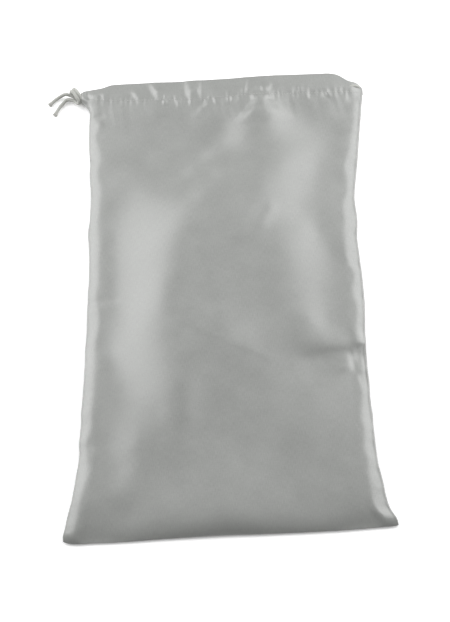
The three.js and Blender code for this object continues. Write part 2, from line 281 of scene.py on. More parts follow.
FOLD = smooth_table([  # the folded edge of the mouth
    (-121.5, 193.2), (-119.8, 194.2), (-118.0, 195.5), (-115.5, 196.8), (-113.2, 197.7),
    (-110.6, 198.3), (-108, 198.6), (-102.8, 198.9), (-99.6, 199.2), (-97.0, 199.9), (-94.6, 200.8),
    (-92.0, 201.9), (-89.5, 202.5), (-86.5, 202.7), (-68, 202.7), (-51, 202.7), (-33, 202.2), (-16, 202.3),
    (1, 202.4), (18, 202.1), (36, 202.4), (53, 202.8), (70.4, 202.8), (87.7, 202.6), (92.9, 202.5),
    (95.8, 202.7), (98.4, 202.6), (100.8, 202.3), (103.3, 201.8), (105.9, 200.8), (108.5, 198.8),
    (111.1, 195.8), (113.7, 193.5), (116.3, 192.6), (118.9, 192.5), (121.3, 191.4), (123.0, 189.4),
    (124.4, 187.2),
], 0.8)

CORD_L, CORD_R = (-116.0, 192.0), (118.0, 188.0)


def cord_y(x):
    return CORD_L[1] + (CORD_R[1] - CORD_L[1]) * (x - CORD_L[0]) / (CORD_R[0] - CORD_L[0])


Z_LEG_F, Z_LEG_B = 9.0, 2.9     # heights of the two runs of the cord

# ------------------------------------------------------- body of the front
# Heights of the loosely puffed front (mm), row by row from the mouth to the bottom. Every row
# has stations at DL in from the left side, the middle, and DL in from the right side. They
# were fitted to the broad shading of the photo and then corrected.
DL = (13, 22, 33, 46, 62, 79, 96)            # columns of the height table: distances in from each side
PUFF_ROWS = {
    179: (10.0, 10.4, 10.6, 10.8, 11.0, 10.7, 10.8, 12.1, 13.2, 12.6, 11.0, 10.8, 10.7, 10.4, 10.1),
    170: (9.1, 9.4, 9.6, 10.0, 10.3, 10.2, 10.7, 11.5, 12.9, 12.7, 10.4, 10.0, 9.8, 9.4, 9.1),
    158: (8.3, 8.4, 8.4, 8.6, 9.0, 9.2, 9.9, 10.0, 12.9, 13.3, 10.3, 8.9, 8.6, 8.5, 8.3),
    143: (7.9, 7.9, 7.7, 7.5, 7.4, 7.9, 8.5, 8.8, 12.1, 12.4, 10.9, 8.9, 7.8, 7.4, 7.9),
    127: (8.9, 8.7, 8.3, 7.7, 7.4, 7.4, 7.6, 10.2, 12.2, 12.7, 12.1, 10.3, 8.6, 8.1, 8.3),
    110: (8.4, 8.6, 8.8, 8.8, 8.3, 8.2, 11.1, 13.9, 14.3, 14.4, 13.2, 10.6, 8.6, 8.3, 8.3),
    92: (8.2, 8.2, 8.5, 9.6, 10.5, 12.4, 15.1, 15.5, 15.5, 15.2, 13.0, 9.9, 8.2, 8.0, 7.8),
    72: (7.8, 7.8, 8.6, 10.4, 13.0, 15.7, 16.4, 15.9, 16.0, 14.5, 12.3, 9.7, 8.7, 8.8, 8.7),
    52: (8.4, 8.1, 9.3, 11.6, 14.8, 16.8, 16.3, 15.7, 15.5, 14.3, 13.2, 11.5, 9.3, 9.5, 9.7),
    32: (8.8, 8.6, 10.0, 12.5, 15.5, 16.7, 15.6, 14.8, 14.0, 13.8, 14.0, 12.1, 10.0, 8.9, 9.2),
    12: (8.6, 8.5, 10.0, 12.7, 15.8, 16.4, 15.0, 14.1, 13.4, 13.5, 13.1, 11.2, 9.2, 8.2, 8.2),
    -8: (8.5, 8.6, 9.7, 12.7, 15.8, 15.8, 14.6, 13.9, 13.1, 12.3, 11.6, 10.1, 8.4, 7.9, 8.0),
    -28: (8.0, 8.4, 9.9, 12.8, 15.1, 15.7, 15.1, 14.3, 12.7, 11.2, 10.7, 10.2, 8.4, 7.9, 8.3),
    -46: (7.6, 7.8, 9.7, 12.2, 14.6, 15.3, 15.0, 14.2, 12.6, 10.7, 9.7, 9.4, 8.5, 7.7, 7.0),
    -62: (9.0, 8.3, 9.3, 11.8, 14.3, 15.1, 13.7, 12.4, 11.5, 9.7, 7.8, 6.8, 6.7, 7.2, 7.2),
    -80: (9.0, 8.9, 9.0, 10.7, 13.4, 14.8, 12.3, 10.6, 9.2, 8.1, 7.3, 7.3, 7.8, 8.0, 7.8),
    -102: (8.4, 8.5, 9.0, 10.2, 11.6, 13.0, 10.2, 8.6, 7.7, 7.8, 8.4, 9.2, 8.8, 8.2, 7.9),
    -126: (7.7, 7.3, 8.2, 9.8, 9.9, 10.5, 8.6, 7.5, 6.9, 7.4, 8.4, 8.7, 8.4, 8.4, 8.7),
    -148: (8.5, 7.5, 7.3, 8.5, 8.2, 8.7, 9.1, 8.7, 7.5, 7.3, 7.4, 7.7, 8.1, 8.6, 8.9),
    -166: (8.7, 8.4, 8.1, 8.1, 8.3, 8.5, 9.3, 9.8, 8.5, 7.7, 7.5, 7.8, 8.1, 8.4, 8.6),
    -184: (7.4, 7.1, 6.7, 6.3, 7.3, 8.5, 9.2, 10.8, 8.7, 7.7, 7.0, 7.2, 7.6, 7.8, 7.8),
}

# heights along the casing, (x, y, z)
MOUTH = [
    (-112, 192, 10.0), (-105, 192, 11.5), (-98, 192, 11.6), (-76, 192, 11.3), (-50, 192, 11.2), (-20, 192, 11.4),
    (10, 192, 11.6), (38, 192, 12.3), (70, 192, 11.4), (100, 190, 11.0), (114, 187, 10.6),
    (-112, 199, 9.3), (-98, 203, 9.6), (-76, 204, 9.8), (-40, 204, 10.0), (0, 204, 10.2), (38, 204, 11.5),
    (70, 204, 10.2), (100, 203, 9.8), (114, 200, 9.4),
]

# width of the drawn-down strip beside each side seam
STRIP_L = smooth_table([
    (188, 5.5), (184, 4.6), (178, 3.4), (172, 2.3), (168.5, 2.8), (164.5, 9), (160, 8), (156, 5.8), (152, 4.2), (144, 6.8), (136, 8.4), (128, 8.2), (120, 6.2),
    (112, 6.6), (104, 8), (96, 8), (88, 7), (80, 7.4), (72, 6.6), (64, 7.4), (56, 8.4), (48, 8.6), (40, 7.8),
    (32, 6.9), (24, 8), (16, 7.7), (8, 7.3), (0, 6.9), (-8, 8.0), (-16, 10), (-24, 9.8), (-32, 8.6),
    (-40, 7.2), (-48, 7.4), (-56, 7.8), (-64, 8.2), (-72, 8.2), (-80, 8.4), (-88, 8.3), (-96, 8.2),
    (-104, 8), (-112, 8), (-120, 6.2), (-128, 4.2), (-136, 7), (-144, 8.6), (-152, 8.6), (-160, 7.6),
    (-168, 7.6), (-176, 8.4), (-184, 8.2), (-192, 8.0), (-200, 8.0)], 1.9)
STRIP_R = smooth_table([
    (184, 2.6), (175, 2.4), (169, 4.8), (164, 6.4), (158, 4.2), (152, 4.0), (144, 5.4), (136, 6.1), (128, 6.2), (120, 8.1),
    (112, 9.8), (104, 8.2), (96, 6.1), (88, 5), (80, 7.4), (72, 9.8), (64, 9.4), (56, 10), (48, 9.4),
    (40, 9.2), (32, 10.2), (24, 10.3), (16, 6.8), (8, 5.2), (0, 8.6), (-8, 7.8), (-16, 5.2), (-24, 5.2),
    (-32, 6.5), (-40, 5.6), (-48, 4.4), (-56, 2.6), (-64, 3.0), (-72, 3.0), (-80, 4.2), (-88, 5.0),
    (-96, 5.6), (-104, 7), (-112, 8.4), (-120, 7.0), (-128, 7.6), (-136, 8.8), (-144, 7.6), (-152, 8.0),
    (-160, 9.6), (-168, 10), (-176, 11), (-184, 13), (-192, 14), (-200, 14)], 2.2)
STRIP_SLOPE = 0.37




class Thinplate:
    """A thin-plate surface near the given heights; stiff > 0 lets it miss them a little."""

    def __init__(self, rows, stiff=0.004):
        P = np.array(rows, float)
        self.c = P[:, :2] / 100.0
        n = len(P)
        K = self._u(self.c, self.c) + stiff * np.eye(n)
        Q = np.hstack([np.ones((n, 1)), self.c])
        A = np.block([[K, Q], [Q.T, np.zeros((3, 3))]])
        self.w = np.linalg.solve(A, np.concatenate([P[:, 2], np.zeros(3)]))

    @staticmethod
    def _u(a, b):
        r2 = ((a[:, None, :] - b[None, :, :]) ** 2).sum(-1)
        return 0.5 * r2 * np.log(np.maximum(r2, 1e-12))

    def __call__(self, x, y):
        shape = np.shape(x)
        q = np.stack([np.ravel(x), np.ravel(y)], 1) / 100.0
        out = np.empty(len(q))
        for k in range(0, len(q), 8000):
            b = q[k : k + 8000]
            out[k : k + 8000] = self._u(b, self.c) @ self.w[:-3] + self.w[-3] + b @ self.w[-2:]
        return out.reshape(shape)


def puff_points():
    rows = []
    for y, heights in PUFF_ROWS.items():
        xl, xr = float(LEFT(y)), float(RIGHT(y))
        xs = [xl + d for d in DL] + [(xl + xr) / 2] + [xr - d for d in reversed(DL)]
        rows += [(x, y, z) for x, z in zip(xs, heights)]
    return rows + MOUTH


puff = Thinplate(puff_points())

# small wanders of the sewn edges
seam_l, seam_r = wander(3, 26, 120), wander(8, 24, 110)
fine_l, fine_r = wander(21, 6, 18), wander(27, 6, 18)


def softplus(t):
    return np.logaddexp(0, t)


def seam_z(x, y, dB):
    left = 4.2 + 0.25 * seam_l(y) + 0.4 * S(y, 150, 185) + 1.3 * S(y, 172, 188)
    right = 4.3 + 0.30 * seam_r(y) + 0.7 * S(y, 150, 185)
    k = S(x, -60, 60)
    side = left * (1 - k) + right * k
    return side + (1.9 - side) * (1 - S(dB, 0, 55))


def strip_rise(d, w, slope, a, ta=0.35, tw=1.2):
    """Rise over the drawn-down strip along a side seam: level, then steep to w, then level."""
    def part(c, t):
        return d - t * softplus((d - c) / t) + t * softplus(-c / t)
    return slope * (part(w, tw) - part(a, ta))


def strip_shape(y, left):
    """Width and slope of the drawn-down strip at height y, and where its steep part starts."""
    w = np.where(left, STRIP_L(y), STRIP_R(y))
    slope = STRIP_SLOPE * np.clip(8 / w, 0.7, 2.2) ** 0.55 * (1 - 0.16 * S(-y, 105, 140))
    return w - 0.5, slope, np.where(left, 1.6, 2.2)


def strip_level(left):
    """How high the strip's outer edge stands above the seam so that it runs into the puffed front."""
    y = np.arange(-204.0, 205.0, 2.0)
    x = LEFT(y) + 13 if left else RIGHT(y) - 13
    w, slope, a = strip_shape(y, left)
    dB = np.maximum(y - BOTTOM(x), 0)
    need = puff(x, y) - seam_z(x, y, dB) - strip_rise(13.0, w, slope, a)
    return smooth_table(list(zip(y.tolist(), np.clip(need, 1.2, 4.3).tolist())), 2.5)


level_l, level_r = strip_level(True), strip_level(False)


def front_body(x, y, puff_z):
    """The puffed front without its small folds."""
    dL, dR, dB = x - LEFT(y), RIGHT(y) - x, y - BOTTOM(x)
    dL, dR, dB = (np.maximum(d, 0) for d in (dL, dR, dB))
    dS = np.minimum(dL, dR)
    zs = seam_z(x, y, dB)
    slit = S(y, 185, 190) * (1 - S(dL, 0, 60))    # the free edge of the slit, over the cord
    zs = zs + slit * 1.6
    corner = S(y, 170, 184) * (dR < dL)           # rounded right end of the casing
    spout = S(y, 176, 186) * (dL < dR)            # rounded left end, gathered round the cord
    r = 1.0 + 3.9 * corner + 4.6 * spout
    w, slope, a = strip_shape(y, dL < dR)
    bulge = np.where(dL < dR, level_l(y), level_r(y))
    bulge = bulge + (2.2 - bulge) * np.maximum(corner, spout) + 1.1 * corner + 1.3 * spout
    edge = bulge * np.sqrt(1 - (1 - np.minimum(dS / r, 1)) ** 2)
    rise = strip_rise(dS, w, slope * (1 - 0.5 * slit) * (1 - 0.4 * corner), a)
    k = S(dS, 9.0, 15.5)
    k = k + (S(dS, 1.5, 9) - k) * np.maximum(slit, corner)
    full = (zs + edge + rise) * (1 - k) + puff_z * k
    base = np.minimum(1.0, np.sqrt(np.maximum(1 - (1 - np.minimum(dB / 0.9, 1)) ** 2, 0)))
    aside = (1 - S(dS, 24, 58)) * S(dS, 9, 18)
    taper = 0.07 * base + 0.93 * (1 - np.exp(-((dB / (3.4 + 3.0 * S(dS, 9, 18) + 4.2 * aside)) ** (1 + 0.5 * aside))))
    return zs + (full - zs) * taper, dL, dR, dB, dS, zs, slit, corner


# pleats that cross the stitched foot of the casing: (x, up, half length, width, step, lean)
PLEATS = [
    (-111.5, 3.0, 5.0, 2.4, 1.20, 0.35), (-100, 3.0, 3.0, 1.2, 0.62, 0.30), (-72.3, 4.6, 5.0, 2.2, 1.35, 0.40),
    (-55.6, 9.0, 7.5, 2.8, 2.15, 0.38), (-48.0, -2.0, 2.2, 1.0, 0.80, 0.0),
    (-46.4, 3.4, 2.4, 1.0, 0.85, 0.30), (-36.5, -1.0, 5.5, 1.2, 1.35, 0.20),
    (-26.6, 9.5, 9.0, 2.5, 1.95, 0.08), (-25.0, -3.2, 2.2, 1.0, 0.35, 0.10),
    (-15.8, 9.8, 7.5, 2.2, -1.60, 0.0), (-14.5, -8.0, 7.0, 2.6, 0.90, -0.75),
    (-8.5, 0.8, 2.0, 0.9, 0.45, 0.0), (-3.8, -2.0, 3.6, 1.0, 0.90, 0.30),
    (11.2, -2.4, 4.0, 1.3, -1.35, -0.15), (24.4, 7.0, 8.0, 1.5, -1.10, -0.12),
    (37.6, 6.0, 3.4, 1.5, 1.55, 0.15), (45.2, 8.0, 3.2, 1.7, -0.90, -0.10),
    (69.4, 4.6, 2.5, 1.1, 1.00, 0.10), (77.2, -0.8, 3.2, 1.4, -1.25, 0.05),
    (87.6, 1.0, 2.0, 0.9, 0.40, 0.0), (93.3, -1.0, 3.6, 1.2, 1.30, 0.45),
    (105.5, 1.8, 3.2, 1.3, -0.60, -0.10),
]
# the pinch below the casing: sides of the raised wedge, by height below the stitch line
WEDGE = np.array([  # below, left side, right side, half width of the left and right slopes
    (-6, 28.0, 44.5, 3.0, 3.0), (0, 28.8, 44.0, 3.2, 3.6), (5, 31.0, 43.4, 4.2, 5.0),
    (10, 29.4, 46.2, 5.4, 7.5), (15, 26.0, 49.8, 6.2, 9.5), (22, 20.4, 55.0, 7.0, 12.0),
    (30, 14.4, 61.0, 7.6, 14.0),
])
# tucks that run in from the sewn sides: (y, reach, width, height)
TUCK = 0.35
TUCKS_L = [
    (163, 9, 3.2, 0.30), (154, 9, 2.6, -0.45), (138, 13, 4.0, 0.65),
    (127, 9, 2.6, -0.45), (112, 12, 3.8, 0.55), (96, 10, 3.0, -0.35), (80, 12, 4.0, 0.45),
    (60.5, 13, 3.0, -0.50), (47, 12, 3.6, 0.35), (28, 12, 4.2, 0.35), (12.8, 10, 3.2, -0.3),
    (-3.4, 20, 3.6, -0.6), (-14, 14, 4.0, 0.55), (-27.3, 12, 3.6, -0.25), (-53.3, 14, 5.0, 0.35),
    (-83.1, 13, 4.0, -0.35), (-100, 12, 4.4, 0.3), (-125.3, 17, 3.4, -0.75), (-136, 15, 4.4, 0.5),
    (-150, 11, 3.6, -0.35), (-172, 12, 3.6, 0.35),
]
TUCKS_R = [
    (176, 9, 2.2, -0.55), (166.5, 13, 2.2, 0.75), (161, 10, 2.0, -0.75), (146, 12, 3.4, 0.3),
    (127.0, 13, 3.6, 0.6), (113, 10, 2.8, -0.45), (100, 11, 3.4, 0.35), (84, 14, 3.6, 0.6),
    (72, 10, 2.6, -0.6), (60, 13, 3.4, 0.65), (46.9, 10, 2.8, -0.55), (35, 13, 3.4, 0.6),
    (19, 12, 3.2, -0.6), (4, 12, 3.6, 0.55), (-9, 11, 3.0, -0.5), (-22.0, 12, 3.2, 0.5),
    (-36, 10, 2.6, -0.45), (-90.0, 12, 3.6, 0.4), (-104.9, 12, 3.2, -0.55),
    (-118, 12, 3.8, 0.45), (-134, 14, 3.2, -0.55), (-146, 12, 3.2, 0.5), (-156, 11, 2.6, -0.45),
    (-168, 12, 3.6, 0.4), (-180.6, 9, 2.6, -0.5),
]


def segment_ridge(x, y, p, q, width, height, taper=0.25):
    """A soft ridge along a straight line that fades at both ends."""
    p, q = np.array(p, float), np.array(q, float)
    d = q - p
    L = np.hypot(*d)
    u = ((x - p[0]) * d[0] + (y - p[1]) * d[1]) / L / L
    v = ((x - p[0]) * -d[1] + (y - p[1]) * d[0]) / L
    along = S(u, -taper, taper) * (1 - S(u, 1 - taper, 1 + taper))
    return height * np.exp(-((v / width) ** 2)) * along


def step_across(x, y, p, q, width, height, taper=0.3):
    """A soft step: ground on the left of the line p to q stands higher, fading away from it."""
    p, q = np.array(p, float), np.array(q, float)
    d = q - p
    L = np.hypot(*d)
    u = ((x - p[0]) * d[0] + (y - p[1]) * d[1]) / L / L
    v = ((x - p[0]) * -d[1] + (y - p[1]) * d[0]) / L
    along = S(u, -taper, taper) * (1 - S(u, 1 - taper, 1 + taper))
    return height * along * np.tanh(v / width) * np.exp(-((v / (width * 5)) ** 2))


def front_z(x, y):
    """Outer surface of the front of the bag."""
    x, y = np.asarray(x, float), np.asarray(y, float)
    z, dL, dR, dB, dS, zs, slit, corner = front_body(x, y, puff(x, y))
    stitch = STITCH(x)
    up = y - stitch

    # tucks drawn in by the side seams
    for side_d, rows, fine in ((dL, TUCKS_L, fine_l), (dR, TUCKS_R, fine_r)):
        for yc, reach, w, h in rows:
            yy = y - yc - 0.10 * side_d
            z = z + TUCK * h * np.exp(-((yy / (w + 0.10 * side_d)) ** 2)) * np.exp(-((side_d / reach) ** 2)) * S(side_d, 0.4, 4.5)
        z = z + 0.05 * fine(y) * np.exp(-((side_d / 6.5) ** 2)) * S(side_d, 0.3, 2.5)

    # pleats and fine gathers at the stitched foot of the casing
    room = S(dL, 1.5, 8) * S(dR, 1.5, 8)
    for xc, yc, half, w, h, lean in PLEATS:
        v = y - stitch - yc
        u = x - xc + lean * v
        z = z + room * 0.5 * h * np.tanh(u / w) * np.exp(-((u / (2.4 * w + 1.2)) ** 2)) * np.exp(-((v / half) ** 2))
    wl, wr, hl, hr = (np.interp(-up, WEDGE[:, 0], WEDGE[:, c]) for c in (1, 2, 3, 4))
    raised = S(x, wl - hl, wl + hl) * (1 - S(x, wr - hr, wr + hr))
    z = z + 1.8 * raised * S(-up, -5, 3) * (1 - S(-up, 14, 30))
    z = z + room * 0.08 * gather(x) * np.exp(-((up / 4.0) ** 2))
    z = z + room * 0.04 * gather2(x + 0.2 * up) * np.exp(-(((up + 5) / 14) ** 2))
    z = z - 0.05 * np.exp(-((up - 0.4) / 0.9) ** 2)
    # the casing lies over the cord
    z = z + 0.16 * S(up, 0.5, 4) * np.exp(-(((y - cord_y(x)) / 3.4) ** 2)) * room

    # single folds of the front
    z = z + step_across(x, y, (-51, -21), (36, -63), 2.6, 0.16)
    z = z + segment_ridge(x, y, (32, 53), (44, 76), 5.0, 0.35)
    z = z - segment_ridge(x, y, (-103, -3.4), (-84, -2.2), 4.2, 0.22)
    z = z + step_across(x, y, (113, -53.0), (66, -55.5), 5.0, -1.10)
    z = z + step_across(x, y, (99.8, -58.0), (101.0, -71.5), 3.6, -0.85)
    z = z + step_across(x, y, (111, -73.0), (104.5, -74.5), 3.0, -0.55)
    z = z + step_across(x, y, (110.5, -50.5), (103, -51.5), 2.4, -0.60)
    z = z + 0.05 * broad(x * 0.8 + 0.35 * y) + 0.04 * broad2(y - 0.4 * x)
    return z


gather, gather2 = wander(31, 3.4, 9.0), wander(37, 6.0, 18.0)
broad, broad2 = wander(41, 45, 120, 6), wander(43, 40, 130, 6)
lie = wander(53, 30, 100, 6)


def back_z(x, y):
    """Outer surface of the back of the bag, which lies on the table."""
    x, y = np.asarray(x, float), np.asarray(y, float)
    dL, dR, dB = x - LEFT(y), RIGHT(y) - x, y - BOTTOM(x)
    dL, dR, dB = (np.maximum(d, 0) for d in (dL, dR, dB))
    dS = np.minimum(dL, dR)
    zs = seam_z(x, y, dB)
    slit = S(y, 185, 190) * (1 - S(dL, 0, 60))
    zs = zs - slit * 2.4
    d = np.minimum(dS, dB * 1.15)
    edge = np.minimum(1.6, zs - 0.5) * np.sqrt(1 - (1 - np.minimum(d / 1.6, 1)) ** 2)
    low = 0.35 + 0.22 * (1 + lie(x + 0.6 * y)) * S(d, 20, 60)
    k = S(dS, 2.5, 15) * S(dB, 2, 15)
    z = (zs - edge) * (1 - k) + low * k
    up = y - STITCH(x)
    z = z + 0.30 * np.exp(-((up - 0.4) / 0.9) ** 2) * k
    z = z + 0.14 * (gather(x + 31) + 1) * np.exp(-((up / 6) ** 2)) * k
    return np.maximum(z, 0.3)


# ------------------------------------------------------------- panel grids
FINE = [0, 0.08, 0.25, 0.5, 0.85, 1.25, 1.7, 2.3, 3.0, 3.8, 4.7, 5.7, 6.8, 8.0, 9.3, 10.6, 12.0]


def stations(n):
    """Evenly spaced fractions across the bag, from 0 to 1."""
    t = np.linspace(0, 1, n)
    return t


def column_x(y, n):
    """x of every column at height y: fine steps near both sides, even steps between."""
    xl, xr = LEFT(y), RIGHT(y)
    fine = np.array(FINE)
    mid = np.linspace(0, 1, n + 2)[1:-1]
    left = xl[..., None] + fine
    right = xr[..., None] - fine[::-1]
    a, b = left[..., -1:], right[..., :1]
    return np.concatenate([left, a + (b - a) * mid, right], -1)


def panel_points(n_across, step, surface):
    nc = n_across + 2 * len(FINE)
    x_ref = column_x(np.array([0.0]), n_across)[0] * 1.05
    for _ in range(3):                       # columns lean, so settle x against y
        y_bot, y_top = BOTTOM(x_ref), STITCH(x_ref)
        x_bot = np.array([column_x(np.array([b]), n_across)[0][i] for i, b in enumerate(y_bot)])
        x_ref = x_bot
    x_top = column_x(np.array([183.0]), n_across)[0]
    for _ in range(3):
        y_top = STITCH(x_top)
        x_top = np.array([column_x(np.array([t]), n_across)[0][i] for i, t in enumerate(y_top)])
    fine = np.array(FINE)
    n = int((383 - 12 - 26) / step)
    rest = np.concatenate([np.linspace(12, 357, n + 1)[1:], np.linspace(357, 383, int(26 / (0.8 if step < 2 else 1.4)) + 1)[1:]])
    v = np.concatenate([fine, rest]) / 383.0
    rows = []
    for t in v:
        y = y_bot + t * (y_top - y_bot)
        x = np.array([column_x(np.array([yy]), n_across)[0][i] for i, yy in enumerate(y)])
        rows.append(np.stack([x, y], -1))
    G = np.array(rows)
    z = surface(G[..., 0], G[..., 1])
    return np.concatenate([G, z[..., None]], -1)


def casing_points(top_row, surface, front):
    """The turned casing above a panel's top row: outer face, folded edge, inner face."""
    nc = len(top_row)
    x0, y0 = top_row[:, 0], top_row[:, 1]
    y1 = FOLD(x0) - (0.0 if front else 0.5)
    sgn = 1.0 if front else -1.0
    r = 1.05
    outer_n, inner_n = 22, 12
    rows = []
    full = (y1 - r) - y0

    def across(y):
        # columns close up towards the rounded right end and the slit
        k = (x0 - LEFT(y0)) / (RIGHT(y0) - LEFT(y0))
        xl, xr = LEFT(y), RIGHT(y)
        return xl + (xr - xl) * k

    for q in np.linspace(0, 1, outer_n):
        y = y0 + q * full
        x = across(y)
        rows.append(np.stack([x, y, surface(x, y)], -1))
    x_f, y_f, z_f = rows[-1].T
    zs = seam_z(x_f, y_f, np.full(nc, 300.0))
    drop = np.maximum(sgn * (z_f - zs), 0.4)
    rr = np.minimum(r, 0.5 * drop)
    for a in np.linspace(0, math.pi, 8)[1:]:
        rows.append(np.stack([
            x_f, y_f + r * math.sin(a), z_f - sgn * rr * (1 - math.cos(a)),
        ], -1))
    for q in np.linspace(1, 0.03, inner_n)[1:]:
        y = y0 + q * full
        x = across(y)
        z = surface(x, y)
        zs_y = seam_z(x, y, np.full(nc, 300.0))
        gap = np.maximum(sgn * (z - zs_y), 0.4)
        t = 0.85 + 4.1 * S(q, 0.03, 0.36) - 2.8 * S(q, 0.80, 1.0)
        t = np.minimum(t, np.maximum(gap * 0.8, 0.35))
        free = 1 - S(x, -112, -96)
        t = np.maximum(t, free * (0.8 + 3.9 * S(q, 0.02, 0.3) - 2.6 * S(q, 0.82, 1.0)))
        rows.append(np.stack([x, y, z - sgn * t], -1))
    return np.array(rows)


def cloth_uv(P):
    """Lengths along the cloth itself, in decimetres, from a grid of points."""
    du = np.linalg.norm(np.diff(P, axis=1), axis=-1)
    dv = np.linalg.norm(np.diff(P, axis=0), axis=-1)
    u = np.concatenate([np.zeros((P.shape[0], 1)), np.cumsum(du, 1)], 1)
    u = u - u[:, u.shape[1] // 2][:, None]
    v = np.concatenate([np.zeros((1, P.shape[1])), np.cumsum(dv, 0)], 0)
    return np.stack([u, v], -1) / 100.0


CLOTH_T = 0.35
front_grid = panel_points(236, 1.5, front_z)
back_grid = panel_points(150, 2.4, back_z)
front_panel = grid_mesh("front_panel_satin", front_grid, cloth_uv(front_grid))
back_panel = grid_mesh("back_panel_satin", back_grid, cloth_uv(back_grid), flip=True)
front_case_grid = casing_points(front_grid[-1], front_z, True)
back_case_grid = casing_points(back_grid[-1], back_z, False)
front_casing = grid_mesh("front_casing_satin", front_case_grid, cloth_uv(front_case_grid))
back_casing = grid_mesh("back_casing_satin", back_case_grid, cloth_uv(back_case_grid), flip=True)
for ob in (front_panel, back_panel, front_casing, back_casing):
    give_thickness(ob, CLOTH_T)


# -------------------------------------------------------------- stitching
def surface_normal(f, x, y, h=0.4):
    gx = (f(x + h, y) - f(x - h, y)) / (2 * h)
    gy = (f(x, y + h) - f(x, y - h)) / (2 * h)
    n = np.array([-gx, -gy, 1.0])
    return n / np.linalg.norm(n)


def stitch_row(name, f, sign, x0, x1, pitch=2.6, length=2.0, up=0.5):
    parts = []
    xs = np.arange(x0, x1, pitch)
    for k, x in enumerate(xs):
        wob = 0.10 * math.sin(k * 2.3) + 0.07 * math.sin(k * 5.1)
        t = np.linspace(0, 1, 7)
        px = x + t * length
        py = STITCH(px) + up + wob
        pz = f(px, py) + sign * (0.06 - 0.36 * (2 * t - 1) ** 4)
        rad = 0.20 * np.sqrt(np.maximum(1 - (2 * t - 1) ** 6, 0.05))
        parts.append(tube(np.stack([px, py, pz], -1), rad, 7))
    return join_parts(name, parts)


front_stitch = stitch_row("front_casing_stitch_thread", lambda x, y: front_z(x, y), 1.0, -110.5, 119.0)
back_stitch = stitch_row("back_casing_stitch_thread", lambda x, y: back_z(x, y), -1.0, -110.5, 117.0)


# ------------------------------------------------- inside seam allowances
def side_strip(name, edge, sign, y0, y1):
    ys = np.arange(y0, y1 + 1, 2.0)
    rows = []
    for y in ys:
        e = float(edge(y))
        w = 6.9 + 0.25 * math.sin(y * 0.21) + 0.15 * math.sin(y * 0.67)
        pts = []
        for d, h in ((1.6, 0.34), (3.4, 0.42), (5.4, 0.42), (1.4 + w, 0.36),
                     (1.5 + w, -0.36), (5.4, -0.42), (3.4, -0.42), (1.6, -0.34)):
            x = e + sign * d
            z = float(seam_z(x, y, 300.0 if y > -150 else y + 201.0))
            pts.append((x, y, z + h + 0.12 * math.sin(y * 0.33 + d)))
        rows.append(pts)
    n, m = len(rows), 8
    V = [p for r in rows for p in r]
    F = []
    for j in range(n - 1):
        for i in range(m):
            i2 = (i + 1) % m
            q = [j * m + i, j * m + i2, (j + 1) * m + i2, (j + 1) * m + i]
            F.append(q if sign > 0 else q[::-1])
    a = list(range(m))
    b = [(n - 1) * m + i for i in range(m)]
    F.append(a[::-1] if sign > 0 else a)
    F.append(b if sign > 0 else b[::-1])
    return join_parts(name, [(V, F)])


def side_overlock(name, edge, sign, y0, y1):
    per, pitch = 12, 2.4
    turns = int((y1 - y0) / pitch)
    t = np.arange(turns * per + 1) / per
    y = y0 + t * pitch
    d = 6.1 + 2.5 * np.cos(2 * math.pi * t)
    x = edge(y) + sign * d
    dB = np.where(y > -150, 300.0, y + 201.0)
    z = seam_z(x, y, dB) + 0.60 * np.sin(2 * math.pi * t) + 0.12 * np.sin(y * 0.33 + d)
    return join_parts(name, [tube(np.stack([x, y, z], -1), 0.15, 6)])


def bottom_strip(name):
    xs = np.arange(-118, 118.1, 2.0)
    V, F = [], []
    for x in xs:
        e = float(BOTTOM(x))
        for d, h in ((1.7, 0.3), (4.0, 0.38), (7.6, 0.34), (7.7, -0.34), (4.0, -0.38), (1.7, -0.3)):
            z = float(seam_z(x, e + d, d))
            V.append((x, e + d, z + h))
    m = 6
    for j in range(len(xs) - 1):
        for i in range(m):
            i2 = (i + 1) % m
            F.append([j * m + i, (j + 1) * m + i, (j + 1) * m + i2, j * m + i2])
    F.append(list(range(m)))
    F.append([(len(xs) - 1) * m + i for i in range(m)][::-1])
    return join_parts(name, [(V, F)])


def bottom_overlock(name):
    per, pitch = 12, 2.4
    turns = int(214 / pitch)
    t = np.arange(turns * per + 1) / per
    x = -107 + t * pitch
    d = 5.6 + 2.4 * np.cos(2 * math.pi * t)
    y = BOTTOM(x) + d
    z = seam_z(x, y, d) + 0.55 * np.sin(2 * math.pi * t)
    return join_parts(name, [tube(np.stack([x, y, z], -1), 0.15, 6)])


left_allow = side_strip("left_allowance", LEFT, 1, -188, 174)
right_allow = side_strip("right_allowance", RIGHT, -1, -186, 176)
bottom_allow = bottom_strip("bottom_allowance")
left_lock = side_overlock("left_overlock", LEFT, 1, -186, 172)
right_lock = side_overlock("right_overlock", RIGHT, -1, -184, 174)
bottom_lock = bottom_overlock("bottom_overlock")


def bartack(name):
    """A dense zigzag of thread across the foot of the slit."""
    t = np.arange(0, 15.01, 1 / 6.0)
    y = 171.5 + t * 0.36
    zig = np.abs((t * 2) % 2 - 1) * 2 - 1
    e = LEFT(y)
    x = e + 0.5 + 0.55 * np.abs(zig)
    z = seam_z(x, y, 300.0) + 1.15 * zig
    return join_parts(name, [tube(np.stack([x - 0.45, y, z], -1), 0.18, 6)])


tack = bartack("slit_bartack_thread")

